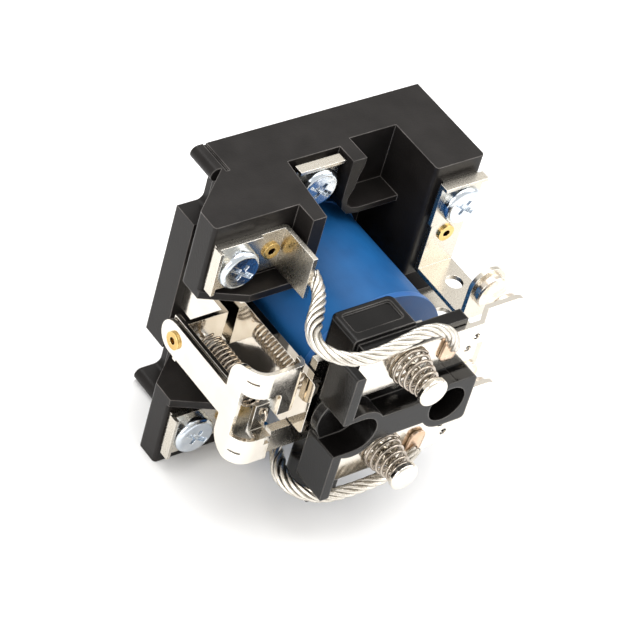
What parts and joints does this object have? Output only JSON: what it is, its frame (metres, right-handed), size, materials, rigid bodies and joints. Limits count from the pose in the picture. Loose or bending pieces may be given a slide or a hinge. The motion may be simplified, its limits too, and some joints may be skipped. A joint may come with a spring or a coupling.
{
  "type": "open frame power relay",
  "caption": "Open-frame power relay: black moulded base, blue wrapped coil, hinged armature with black crossbar, sprung contact arms on pins, copper braids and screw terminals.",
  "frame": {"origin": "centre of the flat mounting face, on the plane that divides the two mirrored poles", "axes": "+X towards the fixed contacts, +Y out of the mounting face towards the panel, +Z along the row of poles"},
  "size_m": [0.0643, 0.059, 0.0632],
  "materials": {
    "phenolic": "black moulded phenolic, satin",
    "nickel": "bright nickel plate",
    "zinc": "bright zinc plate",
    "copper": "enamelled copper wire",
    "tape": "blue coil wrap",
    "bobbin": "blue moulded coil former",
    "brass": "plain brass",
    "silver": "silver alloy contact",
    "spring": "nickel-plated spring wire",
    "braid": "tinned copper braid"
  },
  "bodies": {
    "base": {"moulded_body": "phenolic", "magnet_frame": "nickel", "coil_core": "nickel", "coil_bobbin": "bobbin", "coil_winding": "copper", "coil_wrap": "tape", "spring_anchor": "nickel", "return_spring": "spring", "terminal_screws": "zinc", "wire_clamps": "nickel", "terminal_rivets": "brass", "left_terminal_upper": "nickel", "left_terminal_lower": "nickel", "right_terminal_upper": "nickel", "right_terminal_lower": "nickel", "fixed_contact_upper": "silver", "fixed_contact_lower": "silver", "coil_terminal_upper": "nickel", "coil_terminal_lower": "nickel", "braid_upper": "braid", "braid_lower": "braid"},
    "armature": {"armature": "nickel", "armature_bracket": "nickel", "bracket_eyelet": "brass", "crossbar": "phenolic", "crossbar_rivets": "nickel", "contact_pin_upper": "nickel", "contact_pin_lower": "nickel", "contact_spring_upper": "spring", "contact_spring_lower": "spring"},
    "moving_arm_upper": {"moving_arm_upper": "nickel", "moving_contact_upper": "silver"},
    "moving_arm_lower": {"moving_arm_lower": "nickel", "moving_contact_lower": "silver"}
  },
  "joints": [
    {"name": "armature_hinge", "type": "hinge", "parent": "base", "child": "armature", "pos_m": [-0.0172, -0.0402, 0], "axis": [0, 0, 1], "range_deg": [0, 4.1], "stiffness_Nm_per_rad": 0.05, "springref_deg": -5.73, "deforming": ["return_spring", "braid_upper", "braid_lower"]},
    {"name": "upper_arm_overtravel", "type": "slide", "parent": "armature", "child": "moving_arm_upper", "axis": [0, -1, 0], "range_m": [0, 0.001], "stiffness_N_per_m": 400, "springref_m": -0.003, "deforming": ["contact_spring_upper", "braid_upper"]},
    {"name": "lower_arm_overtravel", "type": "slide", "parent": "armature", "child": "moving_arm_lower", "axis": [0, -1, 0], "range_m": [0, 0.001], "stiffness_N_per_m": 400, "springref_m": -0.003, "deforming": ["contact_spring_lower", "braid_lower"]}
  ]
}
